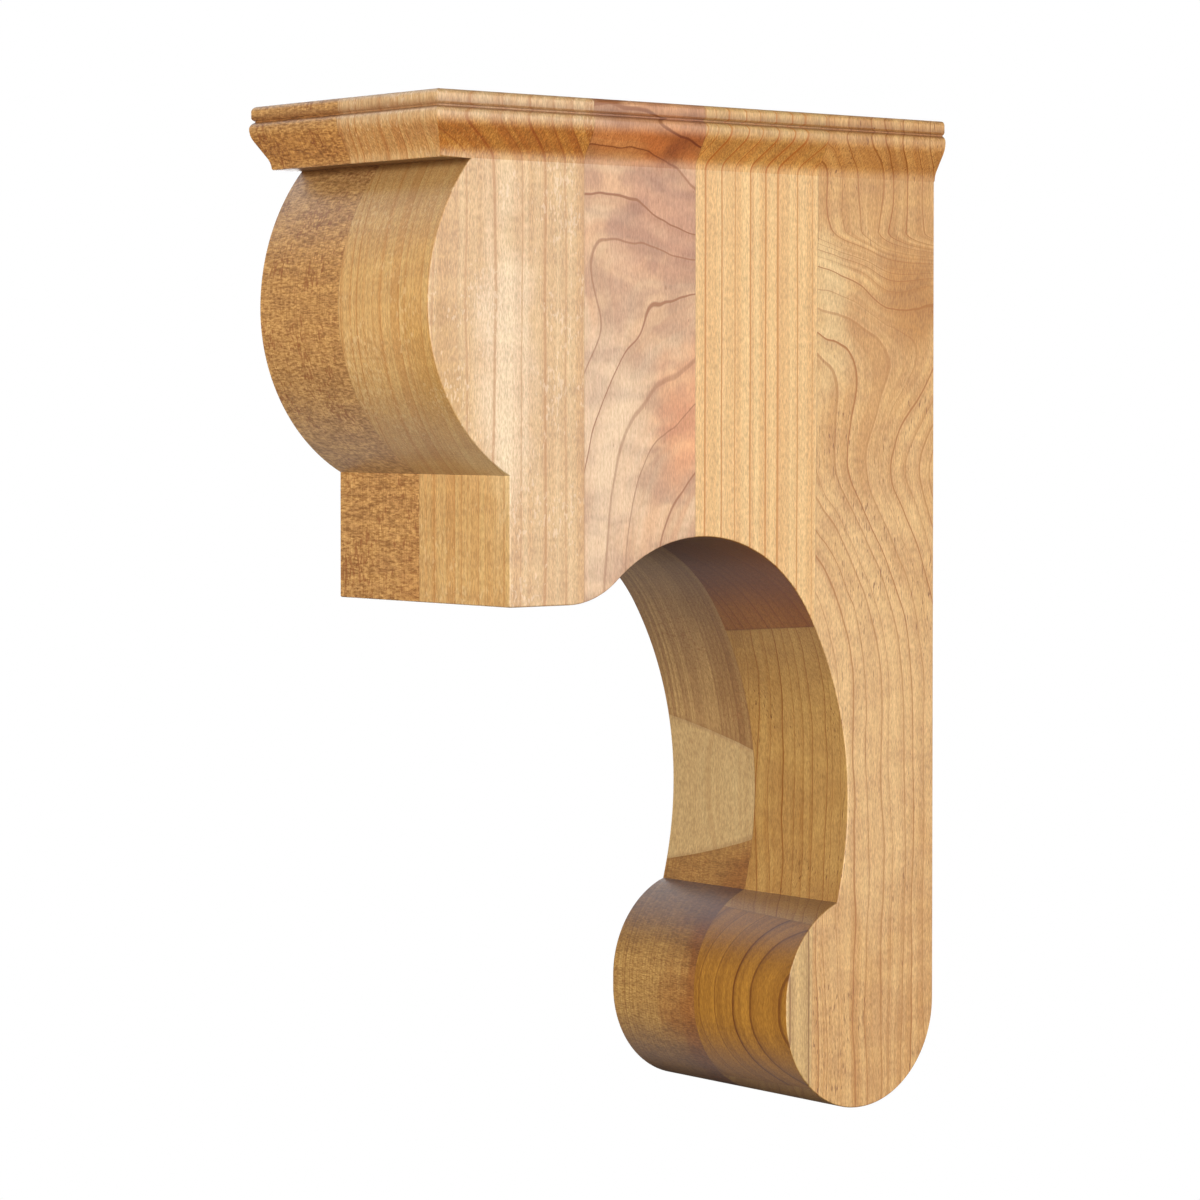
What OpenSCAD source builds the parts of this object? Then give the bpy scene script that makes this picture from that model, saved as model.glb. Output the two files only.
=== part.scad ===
// Wooden corbel bracket: a cap moulding on three sides, an upper scroll over a square block,
// and an arched leg that ends in a foot scroll. It is glued up from maple staves in two layers.
// Millimetres. +Z up, the wall is the plane Y = 0, and the corbel stands out towards -Y.

/* [Overall] */
// Width of the body, across both layers
body_w = 89; // [60:1:140]
// Projection from the wall to the front of the cap
reach = 216; // [170:1:280]

/* [Cap] */
// Height of the cap, from its top to its soffit
cap_h = 20.4; // [16:0.1:30]
// How far the moulding stands out of the body
mould_p = 5.2; // [3.5:0.1:7]
// Height of the bead at the top of the moulding
bead_h = 4.7; // [3.5:0.1:6]
// How far the bead sits back from the moulding's fullest part
bead_back = 0.5; // [0.2:0.1:1]
// Radius of the bead's top edge
bead_r = 1.7; // [1:0.1:2]
// Radius under the bead
under_r = 1.3; // [1:0.1:1.5]
// Depth of the groove under the bead
quirk_d = 0.9; // [0.4:0.1:1.2]
// Height of the groove
quirk_h = 0.4; // [0.3:0.1:1]
// Height of the rounded shoulder under the groove
shoulder_h = 2.1; // [1.5:0.1:2.5]
// Radius of both curves of the ogee
ogee_r = 7.9; // [4:0.1:8]

/* [Upper scroll] */
// Height from the soffit down to the scroll's fullest point
scroll_drop = 44.5; // [34:0.5:56]
// Radius of the scroll above that point
scroll_top_r = 68.9; // [60:0.1:80]
// Radius of the scroll below it
scroll_low_r = 59.8; // [56:0.1:70]
// How far the scroll sits back from the front of the cap
scroll_back = 0.5; // [0:0.1:6]

/* [Block] */
// Height from the soffit down to the underside of the block
arm_h = 138; // [128:1:160]
// How far the block sits back from the front of the cap
block_back = 32.1; // [26:0.1:40]
// Length of the flat under the block
block_flat = 23.8; // [12:0.1:34]
// Radius that turns the flat up into the arch
turn_r = 31; // [15:1:40]

/* [Leg] */
// Height from the underside of the block down to the foot
leg_h = 172.4; // [150:0.1:240]
// Thickness of the leg at its waist
leg_t = 39.9; // [30:0.1:48]
// Height of the arch's crown above the block's underside
arch_rise = 20.2; // [14:0.1:24]
// How far the circle of the arch stands off the waist of the leg
arch_off = 9.8; // [5:0.1:14]
// Height from the centre of the arch down to the waist
waist_drop = 33.5; // [25:0.1:45]

/* [Foot scroll] */
// Radius of the foot scroll, which touches the wall plane
foot_r = 33.8; // [28:0.1:42]
// Straight part between the scroll's upper and lower curves
foot_flat = 3.8; // [1:0.1:10]
// How far the ridge between leg and scroll stands out of the waist
ridge_out = 4.8; // [2:0.1:8]

/* [Staves] */
// How far the joint between the layers lies left of the middle
layer_shift = 1.7; // [0:0.1:8]
// Right layer: wall to first joint
right_joint_1 = 53.3; // [44:0.1:62]
// Right layer: wall to second joint
right_joint_2 = 107.7; // [90:0.1:120]
// Right layer: wall to third joint
right_joint_3 = 154; // [135:0.1:165]
// Left layer: wall to first joint
left_joint_1 = 39.7; // [34:0.1:56]
// Left layer: wall to second joint
left_joint_2 = 91; // [80:0.1:110]
// Left layer: wall to third joint
left_joint_3 = 140; // [125:0.1:160]
// Skew of the first joints in plan, in degrees, so that they run away from the wall at the sides
joint_skew = 2.3; // [0:0.1:3]
// Lean of the right layer's first joint out of plumb, in degrees
right_lean = 0.5; // [0:0.1:1.5]
// Lean of the left layer's first joint out of plumb, in degrees
left_lean = 1; // [0:0.1:1.5]

/* [Hidden] */

total_h = cap_h + arm_h + leg_h;
cap_front = reach - mould_p;
arm_bottom = -cap_h - arm_h;
far = 2 * (total_h + reach + body_w); // longer than anything that it cuts
body_step = 3; // degrees that the body's curves turn between one short straight line and the next
mould_step = 10; // the same for the small curves of the moulding
ogee_limit = 0.95; // share of the radius at which the ogee's two curves would meet

// ---- points and arcs ----

// The half of a chord's length that a circle of radius r reaches, at distance d from its centre
function half_chord(r, d) = sqrt(r * r - d * d);

// The centre of the arc from p to q, which runs counter-clockwise round it if r is above 0
function middle(p, q, r) =
    (p + q) / 2 + sign(r) * half_chord(r, norm(q - p) / 2) * [p.y - q.y, q.x - p.x] / norm(q - p);
function bearing(from, to) = atan2(to.y - from.y, to.x - from.x);
function turn(a, b) = (b - a + 540) % 360 - 180; // from bearing a to bearing b, the shorter way round

// An arc as short straight lines, without its end point
function arc_line(p, q, r, step) =
    let (c = middle(p, q, r), start = bearing(c, p), sweep = turn(start, bearing(c, q)),
         lines = ceil(abs(sweep) / step))
        [for (i = [0 : lines - 1]) c + abs(r) * [cos(start + sweep * i / lines),
                                                 sin(start + sweep * i / lines)]];

// The points of an open chain, counter-clockwise round the solid. Each is given as [x, y, r], where r is
// the radius of the arc from it to the next: above 0 it swells out, below 0 it is a hollow, 0 is straight.
function chain(points, step) = [
    for (i = [0 : len(points) - 1])
        let (p = [points[i].x, points[i].y], r = points[i].z)
            each r == 0 ? [p] : arc_line(p, [points[i + 1].x, points[i + 1].y], r, step)
];

// ---- cap moulding ----

// The ogee is a swelling curve, a short straight and a hollow curve. It leaves the moulding's fullest
// point upright and ends upright at the soffit.
ogee_top = bead_h + quirk_h + shoulder_h;
ogee_h = cap_h - ogee_top;
ogee_fit_r = min(ogee_r, ogee_limit * (mould_p * mould_p + ogee_h * ogee_h) / (4 * mould_p));
ogee_span = norm([mould_p - 2 * ogee_fit_r, ogee_h]) / 2;
ogee_turn = atan2(ogee_h, 2 * ogee_fit_r - mould_p) - acos(ogee_fit_r / ogee_span);
ogee_in = ogee_fit_r * (1 - cos(ogee_turn));
ogee_down = ogee_fit_r * sin(ogee_turn);

// The moulding from the soffit up to the top. x is the distance out of the body, y the height, which
// is 0 at the top of the cap.
quirk_p = mould_p - bead_back - quirk_d;
bead_p = mould_p - bead_back;
shoulder_run = mould_p - quirk_p;
shoulder_r = (shoulder_run * shoulder_run + shoulder_h * shoulder_h) / (2 * shoulder_run);
moulding = chain([
    [0, -cap_h, -ogee_fit_r],
    [ogee_in, ogee_down - cap_h, 0],
    [mould_p - ogee_in, -ogee_top - ogee_down, ogee_fit_r],
    [mould_p, -ogee_top, shoulder_r],
    [quirk_p, shoulder_h - ogee_top, 0],
    [quirk_p, -bead_h, under_r],
    [bead_p, quirk_d - bead_h, 0],
    [bead_p, -bead_r, bead_r],
    [bead_p - bead_r, 0, 0]], mould_step);

// ---- side outline: x is the distance from the wall, y the height, 0 at the top of the cap ----

scroll_front = reach - scroll_back;
scroll_mid = -cap_h - scroll_drop;
scroll_top_x = scroll_front - scroll_top_r + half_chord(scroll_top_r, scroll_drop);
block_front = reach - block_back;
block_top = scroll_mid - half_chord(scroll_low_r, block_front - scroll_front + scroll_low_r);

// The turn and the arch are tangent to each other. Their radii add up to turn_arch.
turn_x = block_front - block_flat;
turn_gap = turn_x - leg_t - arch_off + turn_r;
turn_arch = turn_gap + arch_rise - sqrt(2 * turn_gap * arch_rise);
arch_r = turn_arch - turn_r;
arch_centre = [leg_t + arch_off + arch_r, arm_bottom + arch_rise - arch_r];
turn_centre = [turn_x, arm_bottom + turn_r];
turn_end = turn_centre + (arch_centre - turn_centre) * turn_r / turn_arch;

// The upper curve of the leg holds the arch's circle inside it and stands upright at the waist.
waist_y = arch_centre.y - waist_drop;
leg_r = (pow(arch_off + arch_r, 2) + waist_drop * waist_drop - arch_r * arch_r) / (2 * arch_off);
leg_centre = [leg_t + leg_r, waist_y];
leg_start = arch_centre + (arch_centre - leg_centre) * arch_r / (leg_r - arch_r);

// The lower curve runs from the waist to the ridge, which lies on the foot scroll.
foot_low = foot_r - total_h;
foot_high = foot_low + foot_flat;
ridge_x = leg_t + ridge_out;
ridge_y = foot_high + half_chord(foot_r, ridge_x - foot_r);
shin_r = (ridge_out * ridge_out + pow(ridge_y - waist_y, 2)) / (2 * ridge_out);

body_side = chain([
    [0, 0, 0],
    [0, foot_low, foot_r],
    [foot_r, -total_h, foot_r],
    [2 * foot_r, foot_low, 0],
    [2 * foot_r, foot_high, foot_r],
    [ridge_x, ridge_y, -shin_r],
    [leg_t, waist_y, -leg_r],
    [leg_start.x, leg_start.y, -arch_r],
    [turn_end.x, turn_end.y, turn_r],
    [turn_x, arm_bottom, 0],
    [block_front, arm_bottom, 0],
    [block_front, block_top, scroll_low_r],
    [scroll_front, scroll_mid, scroll_top_r],
    [scroll_top_x, -cap_h, 0]], body_step);

module side_outline() {
    polygon(concat(body_side, [for (m = moulding) [cap_front + m.x, m.y]]));
}

module front_outline() {
    half = body_w / 2;
    right = [for (m = moulding) [half + m.x, m.y]];
    left = [for (i = [len(right) - 1 : -1 : 0]) [-right[i].x, right[i].y]];
    polygon(concat([[-half, -far], [half, -far]], right, left));
}

// The whole corbel: what lies inside both outlines, which gives the cap true mitres.
// The origin is on the wall, in the middle of the width and of the height.
module corbel() {
    translate([0, 0, total_h / 2])
        intersection() {
            rotate([90, 0, -90])
                linear_extrude(height = far, center = true) side_outline();
            rotate([90, 0, 0])
                linear_extrude(height = far, center = true) front_outline();
        }
}

// ---- staves ----

// All that lies on the wall side of a joint, which is [x, skew, lean]: x is its distance from the
// wall in the middle of the width and height
module behind(joint) {
    translate([0, -joint[0], 0])
        rotate([-joint[2], 0, joint[1]])
            translate([-far, 0, -far]) cube(2 * far);
}

// The space between two joints
module between(inner, outer) {
    difference() {
        behind(outer);
        if (inner[0] > 0) behind(inner);
    }
}

// The half of the corbel that belongs to one layer: side 1 is the right, -1 the left
module layer(side) {
    translate([-layer_shift + (side > 0 ? 0 : -far), -far, -far]) cube([far, 2 * far, 2 * far]);
}

wall = [0, 0, 0];
open_air = [far / 2, 0, 0];
right_joints = [wall, [right_joint_1, -joint_skew, right_lean], [right_joint_2, 0, 0],
                [right_joint_3, 0, 0], open_air];
left_joints = [wall, [left_joint_1, joint_skew, left_lean], [left_joint_2, 0, 0],
               [left_joint_3, 0, 0], open_air];

// The third stave is cut through by the cove: what is above the waist stays in the arm, and what is
// below it is the nose of the foot scroll.
module above_waist(keep_above) {
    z = total_h / 2 + waist_y;
    translate([-far, -far, keep_above ? z : z - 2 * far]) cube(2 * far);
}

module stave(side, number) {
    joints = side > 0 ? right_joints : left_joints;
    intersection() {
        corbel();
        layer(side);
        between(joints[number - 1], joints[number]);
        if (number > 1) above_waist(true);
    }
}

module scroll_nose(side) {
    joints = side > 0 ? right_joints : left_joints;
    intersection() {
        corbel();
        layer(side);
        between(joints[1], joints[2]);
        above_waist(false);
    }
}

module right_front_stave() { color([0.90, 0.75, 0.55]) stave(1, 4); }
module right_second_stave() { color([0.84, 0.65, 0.51]) stave(1, 3); }
module right_third_stave() { color([0.89, 0.70, 0.46]) stave(1, 2); }
module right_back_stave() { color([0.85, 0.67, 0.45]) stave(1, 1); }
module right_scroll_nose() { color([0.76, 0.55, 0.29]) scroll_nose(1); }
module left_front_stave() { color([0.72, 0.53, 0.33]) stave(-1, 4); }
module left_second_stave() { color([0.83, 0.66, 0.46]) stave(-1, 3); }
module left_third_stave() { color([0.70, 0.53, 0.35]) stave(-1, 2); }
module left_back_stave() { color([0.82, 0.66, 0.42]) stave(-1, 1); }
module left_scroll_nose() { color([0.68, 0.50, 0.31]) scroll_nose(-1); }

right_front_stave();
right_second_stave();
right_third_stave();
right_back_stave();
right_scroll_nose();
left_front_stave();
left_second_stave();
left_third_stave();
left_back_stave();
left_scroll_nose();
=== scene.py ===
# %% [markdown]
# # A wooden corbel bracket
#
# A corbel is a bracket that stands out of a wall and carries a shelf, a mantel or a worktop. This one is
# glued up from maple staves in two layers, then sawn, routed and sanded as one block, so the glue
# joints run straight through the moulding and the scrolls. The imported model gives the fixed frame: the
# wall is the plane Y = 0, the corbel stands out towards -Y, and Z is up. Its box is measured first.

# %% Load the frame
import math

import bmesh
import bpy
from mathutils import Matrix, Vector


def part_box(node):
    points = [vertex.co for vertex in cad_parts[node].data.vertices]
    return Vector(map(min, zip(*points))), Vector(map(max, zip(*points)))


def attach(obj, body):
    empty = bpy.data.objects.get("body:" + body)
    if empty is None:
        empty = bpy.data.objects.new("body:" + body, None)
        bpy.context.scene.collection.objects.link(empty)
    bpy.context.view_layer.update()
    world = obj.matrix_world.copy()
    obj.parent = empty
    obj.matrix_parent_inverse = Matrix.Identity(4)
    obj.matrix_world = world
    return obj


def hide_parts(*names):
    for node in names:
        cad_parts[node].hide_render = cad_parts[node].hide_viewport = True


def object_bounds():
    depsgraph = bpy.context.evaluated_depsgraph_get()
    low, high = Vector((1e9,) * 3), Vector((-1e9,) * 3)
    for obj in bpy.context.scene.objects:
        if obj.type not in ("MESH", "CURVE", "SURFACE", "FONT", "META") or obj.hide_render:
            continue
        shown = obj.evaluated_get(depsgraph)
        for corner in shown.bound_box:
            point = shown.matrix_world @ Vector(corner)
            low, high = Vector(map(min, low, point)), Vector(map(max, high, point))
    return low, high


MM = 0.001
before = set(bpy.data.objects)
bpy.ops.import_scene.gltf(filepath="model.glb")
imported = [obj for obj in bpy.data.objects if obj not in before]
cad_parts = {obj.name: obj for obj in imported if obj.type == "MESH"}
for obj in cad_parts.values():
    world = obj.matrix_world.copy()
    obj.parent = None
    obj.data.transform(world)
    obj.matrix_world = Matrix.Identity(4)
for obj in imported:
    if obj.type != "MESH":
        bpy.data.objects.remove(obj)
cad_low, cad_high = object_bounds()
print("frame:", len(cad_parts), "staves, box", [round(v, 4) for v in cad_high - cad_low], "m")

# %% [markdown]
# The camera looks at the right side and the front together, from a little above the middle. A long lens
# keeps the verticals nearly parallel, and a small shift frames the corbel without tilting the camera.

# %% Camera
CAMERA_AT = (0.9729, -0.9239, 0.0694)
CAMERA_TURN = 50.10
CAMERA_DOWN = 1.461
CAMERA_LENS = 115.42
CAMERA_SHIFT = -0.08

camera_data = bpy.data.cameras.new("studio_camera")
camera_data.lens = CAMERA_LENS
camera_data.shift_y = CAMERA_SHIFT
camera = bpy.data.objects.new("studio_camera", camera_data)
camera.location = CAMERA_AT
camera.rotation_euler = (math.radians(90 - CAMERA_DOWN), 0, math.radians(CAMERA_TURN))
bpy.context.collection.objects.link(camera)
bpy.context.scene.camera = camera
print("camera:", CAMERA_LENS, "mm lens, turned", CAMERA_TURN, "degrees")

# %% [markdown]
# ## The sizes
#
# The whole outline comes from a few sizes in millimetres. The overall ones are read from the frame, so
# they can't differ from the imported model, and the rest are the radii and drops that a pattern maker
# would write on the drawing.

# %% Sizes of the corbel, in millimetres
reach = -cad_low.y / MM
total_h = (cad_high.z - cad_low.z) / MM
top_z = cad_high.z / MM
body_w = 89.0

cap_h = 20.4
mould_p = 5.2
bead_h = 4.7
bead_back = 0.5
bead_r = 1.7
under_r = 1.3
quirk_d = 0.9
quirk_h = 0.4
shoulder_h = 2.1
ogee_r = 7.9

scroll_drop = 44.5
scroll_top_r = 68.9
scroll_low_r = 59.8
scroll_back = 0.5

arm_h = 138.0
block_back = 32.1
block_flat = 23.8
turn_r = 31.0

leg_t = 39.9
arch_rise = 20.2
arch_off = 9.8
waist_drop = 33.5

foot_r = 33.8
foot_flat = 3.8
ridge_out = 4.8
print("reach %.1f mm, height %.1f mm" % (reach, total_h))

# %% [markdown]
# Every curve of a corbel is an arc that a compass can draw on the pattern, so the outline could be drawn
# by hand, point by point. Here each arc is worked out from its ends and its radius instead, and a change
# of size moves all of it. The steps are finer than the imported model's, so the curves take the light well.

# %% Arcs and chains of arcs
BODY_STEP = 1.5
MOULD_STEP = 6


def half_chord(r, d):
    """Half of the chord that a circle of radius r cuts off, at distance d from its centre."""
    return math.sqrt(r * r - d * d)


def arc(p, q, r, step):
    """Points from p up to q, but without q, on an arc that swells out if r > 0 and is hollow if r < 0."""
    (px, py), (qx, qy) = p, q
    span = math.dist(p, q)
    off = math.copysign(half_chord(abs(r), span / 2), r) / span
    cx, cy = (px + qx) / 2 + off * (py - qy), (py + qy) / 2 + off * (qx - px)
    start = math.atan2(py - cy, px - cx)
    sweep = (math.atan2(qy - cy, qx - cx) - start + math.pi) % (2 * math.pi) - math.pi
    lines = math.ceil(abs(math.degrees(sweep)) / step)
    turns = [start + sweep * i / lines for i in range(lines)]
    return [(cx + abs(r) * math.cos(t), cy + abs(r) * math.sin(t)) for t in turns]


def chain(points, step):
    """An open chain from points (x, y, r), where r is the radius on the way to the next point."""
    out = []
    for i, (x, y, r) in enumerate(points):
        out += arc((x, y), points[i + 1][:2], r, step) if r else [(x, y)]
    return out


print("one point for every", BODY_STEP, "degrees of body, and", MOULD_STEP, "of moulding")

# %% [markdown]
# The cap moulding is, from the top down, a bead, a fine groove, a rounded shoulder and an ogee that ends
# upright at the soffit. A router bit cuts it in one pass, so it is described once, as distance out of the
# body against height, and the same profile runs along all three sides.

# %% The moulding's profile
ogee_top = bead_h + quirk_h + shoulder_h
ogee_h = cap_h - ogee_top
ogee_span = math.hypot(mould_p - 2 * ogee_r, ogee_h) / 2
ogee_turn = math.atan2(ogee_h, 2 * ogee_r - mould_p) - math.acos(ogee_r / ogee_span)
ogee_in = ogee_r * (1 - math.cos(ogee_turn))
ogee_down = ogee_r * math.sin(ogee_turn)
bead_p = mould_p - bead_back
quirk_p = bead_p - quirk_d
shoulder_run = mould_p - quirk_p
shoulder_r = (shoulder_run ** 2 + shoulder_h ** 2) / (2 * shoulder_run)

moulding = chain([
    (0, -cap_h, -ogee_r),
    (ogee_in, ogee_down - cap_h, 0),
    (mould_p - ogee_in, -ogee_top - ogee_down, ogee_r),
    (mould_p, -ogee_top, shoulder_r),
    (quirk_p, shoulder_h - ogee_top, 0),
    (quirk_p, -bead_h, under_r),
    (bead_p, quirk_d - bead_h, 0),
    (bead_p, -bead_r, bead_r),
    (bead_p - bead_r, 0, 0)], MOULD_STEP)
print("moulding:", len(moulding), "points, standing out", mould_p, "mm")

# %% [markdown]
# The side outline runs down the wall, round the foot scroll, up the hollow leg and the arch, round the
# block and up the front scroll to the soffit. Neighbouring arcs are tangent, except at the ridge over
# the foot and in the corner over the block, which are sharp on the real one too.

# %% The side outline
cap_front = reach - mould_p
arm_bottom = -cap_h - arm_h
scroll_front = reach - scroll_back
scroll_mid = -cap_h - scroll_drop
scroll_top_x = scroll_front - scroll_top_r + half_chord(scroll_top_r, scroll_drop)
block_front = reach - block_back
block_top = scroll_mid - half_chord(scroll_low_r, block_front - scroll_front + scroll_low_r)

turn_x = block_front - block_flat
turn_gap = turn_x - leg_t - arch_off + turn_r
turn_arch = turn_gap + arch_rise - math.sqrt(2 * turn_gap * arch_rise)
arch_r = turn_arch - turn_r
arch_c = Vector((leg_t + arch_off + arch_r, arm_bottom + arch_rise - arch_r))
turn_c = Vector((turn_x, arm_bottom + turn_r))
turn_end = turn_c + (arch_c - turn_c) * turn_r / turn_arch

waist_y = arch_c.y - waist_drop
leg_r = ((arch_off + arch_r) ** 2 + waist_drop ** 2 - arch_r ** 2) / (2 * arch_off)
leg_c = Vector((leg_t + leg_r, waist_y))
leg_start = arch_c + (arch_c - leg_c) * arch_r / (leg_r - arch_r)

foot_low = foot_r - total_h
foot_high = foot_low + foot_flat
ridge_x = leg_t + ridge_out
ridge_y = foot_high + half_chord(foot_r, ridge_x - foot_r)
shin_r = (ridge_out ** 2 + (ridge_y - waist_y) ** 2) / (2 * ridge_out)

body_side = chain([
    (0, -cap_h, 0),
    (0, foot_low, foot_r),
    (foot_r, -total_h, foot_r),
    (2 * foot_r, foot_low, 0),
    (2 * foot_r, foot_high, foot_r),
    (ridge_x, ridge_y, -shin_r),
    (leg_t, waist_y, -leg_r),
    (*leg_start, -arch_r),
    (*turn_end, turn_r),
    (turn_x, arm_bottom, 0),
    (block_front, arm_bottom, 0),
    (block_front, block_top, scroll_low_r),
    (scroll_front, scroll_mid, scroll_top_r),
    (scroll_top_x, -cap_h, 0)], BODY_STEP)
print("side outline:", len(body_side), "points, arch radius %.1f mm, leg radius %.1f mm" % (arch_r, leg_r))

# %% [markdown]
# ## The blank
#
# Seen from the side, the corbel is one flat shape: the body, and above it a strip for each step of the
# moulding. A Geometry Nodes tree turns that sheet into the solid. It extrudes the sheet to the width of
# the body, closes the back of it, and pushes each level of the cap outwards by as much as the moulding
# stands proud there, which gives true mitres at the front corners.

# %% The flat sheet
def sheet_point(x, y):
    """A point of the side outline, in metres in the shared frame."""
    return (0.0, -x * MM, (y + top_z) * MM)


def flat_sheet():
    """The side of the corbel as a flat mesh, with how far each point stands out of the body."""
    body_n, rows = len(body_side), len(moulding)
    wall = [0] + [body_n + i for i in range(rows - 1)]
    front = [body_n + rows - 1 + i for i in range(rows)]
    points = [sheet_point(*p) for p in body_side]
    points += [sheet_point(0, m[1]) for m in moulding[1:]]
    points += [sheet_point(cap_front + m[0], m[1]) for m in moulding]
    faces = [tuple(range(body_n)), (wall[0], body_n - 1, front[0], front[1], wall[1])]
    faces += [(wall[i], front[i], front[i + 1], wall[i + 1]) for i in range(1, rows - 1)]
    proud = [0.0] * body_n + [m[0] * MM for m in moulding[1:]] + [m[0] * MM for m in moulding]
    mesh = bpy.data.meshes.new("side_sheet")
    mesh.from_pydata(points, [], faces)
    mesh.attributes.new("proud", "FLOAT", "POINT").data.foreach_set("value", proud)
    return mesh


sheet = flat_sheet()
print("sheet:", len(sheet.vertices), "points and", len(sheet.polygons), "faces")


# %% Small helpers for node trees
def add(tree, kind, inputs=None, **settings):
    """A node with its settings, and with values or other nodes' sockets on its inputs."""
    node = tree.nodes.new(kind)
    for key, value in settings.items():
        setattr(node, key, value)
    for key, value in (inputs or {}).items():
        if isinstance(value, bpy.types.NodeSocket):
            tree.links.new(value, node.inputs[key])
        else:
            node.inputs[key].default_value = value
    return node


def socket(tree, name, kind, way="INPUT", default=None):
    """A named socket on a tree's interface."""
    made = tree.interface.new_socket(name=name, in_out=way, socket_type=kind)
    if default is not None:
        made.default_value = default
    return made


print("helpers: add, socket")

# %% [markdown]
# The width is an input of the tree, and the sheet's "proud" attribute says how far each level stands out.
# The push goes outwards on both sides of the middle plane, so the sign of X gives its direction.

# %% The tree that makes the blank
blank_tree = bpy.data.node_groups.new("corbel_blank", "GeometryNodeTree")
socket(blank_tree, "Geometry", "NodeSocketGeometry")
width_socket = socket(blank_tree, "Body Width", "NodeSocketFloat", default=0.05)
wood_socket = socket(blank_tree, "Wood", "NodeSocketMaterial")
socket(blank_tree, "Geometry", "NodeSocketGeometry", "OUTPUT")

given = add(blank_tree, "NodeGroupInput")
half_width = add(blank_tree, "ShaderNodeMath", {0: given.outputs["Body Width"], 1: -0.5},
                 operation="MULTIPLY")
start_at = add(blank_tree, "ShaderNodeCombineXYZ", {"X": half_width.outputs[0]})
left_face = add(blank_tree, "GeometryNodeSetPosition",
                {"Geometry": given.outputs["Geometry"], "Offset": start_at.outputs[0]})
across = add(blank_tree, "ShaderNodeCombineXYZ", {"X": given.outputs["Body Width"]})
pulled = add(blank_tree, "GeometryNodeExtrudeMesh",
             {"Mesh": left_face.outputs[0], "Offset": across.outputs[0], "Offset Scale": 1.0,
              "Individual": False})
back_side = add(blank_tree, "GeometryNodeFlipFaces", {"Mesh": left_face.outputs[0]})
both = add(blank_tree, "GeometryNodeJoinGeometry")
blank_tree.links.new(pulled.outputs["Mesh"], both.inputs[0])
blank_tree.links.new(back_side.outputs[0], both.inputs[0])
closed = add(blank_tree, "GeometryNodeMergeByDistance", {"Geometry": both.outputs[0], "Distance": 1e-6})
place = add(blank_tree, "ShaderNodeSeparateXYZ", {0: add(blank_tree, "GeometryNodeInputPosition").outputs[0]})
outwards = add(blank_tree, "ShaderNodeMath", {0: place.outputs["X"]}, operation="SIGN")
proud_here = add(blank_tree, "GeometryNodeInputNamedAttribute", {"Name": "proud"}, data_type="FLOAT")
push = add(blank_tree, "ShaderNodeMath", {0: outwards.outputs[0], 1: proud_here.outputs[0]},
           operation="MULTIPLY")
push_by = add(blank_tree, "ShaderNodeCombineXYZ", {"X": push.outputs[0]})
moulded = add(blank_tree, "GeometryNodeSetPosition",
              {"Geometry": closed.outputs[0], "Offset": push_by.outputs[0]})
real = add(blank_tree, "GeometryNodeRealizeInstances", {"Geometry": moulded.outputs[0]})
coated = add(blank_tree, "GeometryNodeSetMaterial",
             {"Geometry": real.outputs[0], "Material": given.outputs["Wood"]})
add(blank_tree, "NodeGroupOutput", {"Geometry": coated.outputs[0]})
print("corbel_blank:", len(blank_tree.nodes), "nodes")

# %% Make the blank
bare_wood = bpy.data.materials.new("bare_wood")
blank_object = bpy.data.objects.new("corbel_blank", sheet)
bpy.context.collection.objects.link(blank_object)
maker = blank_object.modifiers.new("corbel_blank", "NODES")
maker.node_group = blank_tree
maker[width_socket.identifier] = body_w * MM
maker[wood_socket.identifier] = bare_wood
graph = bpy.context.evaluated_depsgraph_get()
blank = bpy.data.meshes.new_from_object(blank_object.evaluated_get(graph))
blank_object.modifiers.remove(maker)
bpy.data.objects.remove(blank_object)
print("blank:", len(blank.vertices), "points and", len(blank.polygons), "faces")

# %% [markdown]
# Sanding takes the sharpness off every outer edge. A Bevel modifier on each stave would round the glue
# joints too. So the blank gets its easing before it is cut up, and the joints stay crisp: between two
# staves there is no groove.

# %% Ease the outer edges
BODY_EASE = 0.55  # mm
MITRE_EASE = 0.25  # mm
SHARP = math.radians(35)
LEVEL = 0.99  # a normal's Z above which a face counts as level
NEAR = 1e-5
soffit_z = (top_z - cap_h) * MM

shaped = bmesh.new()
shaped.from_mesh(blank)
bmesh.ops.recalc_face_normals(shaped, faces=shaped.faces)


def outer_edges(wanted):
    """The sharp outer edges for which wanted(edge) is true."""
    return [e for e in shaped.edges if e.is_manifold and e.calc_face_angle_signed() > SHARP and wanted(e)]


def below_cap(e):
    return all(v.co.z < soffit_z + NEAR for v in e.verts)


def on_mitre(e):
    sideways = [abs(f.normal.x) > abs(f.normal.y) for f in e.link_faces]
    upward = [abs(f.normal.z) > LEVEL for f in e.link_faces]
    at_front = all(v.co.y < -(cap_front - 1) * MM for v in e.verts)
    return at_front and not below_cap(e) and sideways[0] != sideways[1] and not any(upward)


def ease(edges, width, segments):
    """Rounds edges over a width in millimetres."""
    bmesh.ops.bevel(shaped, geom=edges, offset=width * MM, segments=segments, profile=0.5,
                    affect="EDGES", clamp_overlap=True)
    return len(edges)


body_edges = ease(outer_edges(below_cap), BODY_EASE, 3)
mitre_edges = ease(outer_edges(on_mitre), MITRE_EASE, 2)
print("eased", body_edges, "body edges and", mitre_edges, "mitre edges")

# %% [markdown]
# ## Cutting the staves
#
# Every glue joint is a plane, so a stave is the blank cut by the planes on its sides, with each cut
# closed by a face. A boolean could do that too, but a plane is exact, and the faces on its two sides
# match point for point. The first joint of each layer isn't quite square to the others: its glue line
# runs out a little. The other joints are square, so the frame's boxes say where they are. Cutting leaves
# points and faces in no fixed order, so they are sorted before they are kept, and every run makes the
# same mesh.

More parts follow.
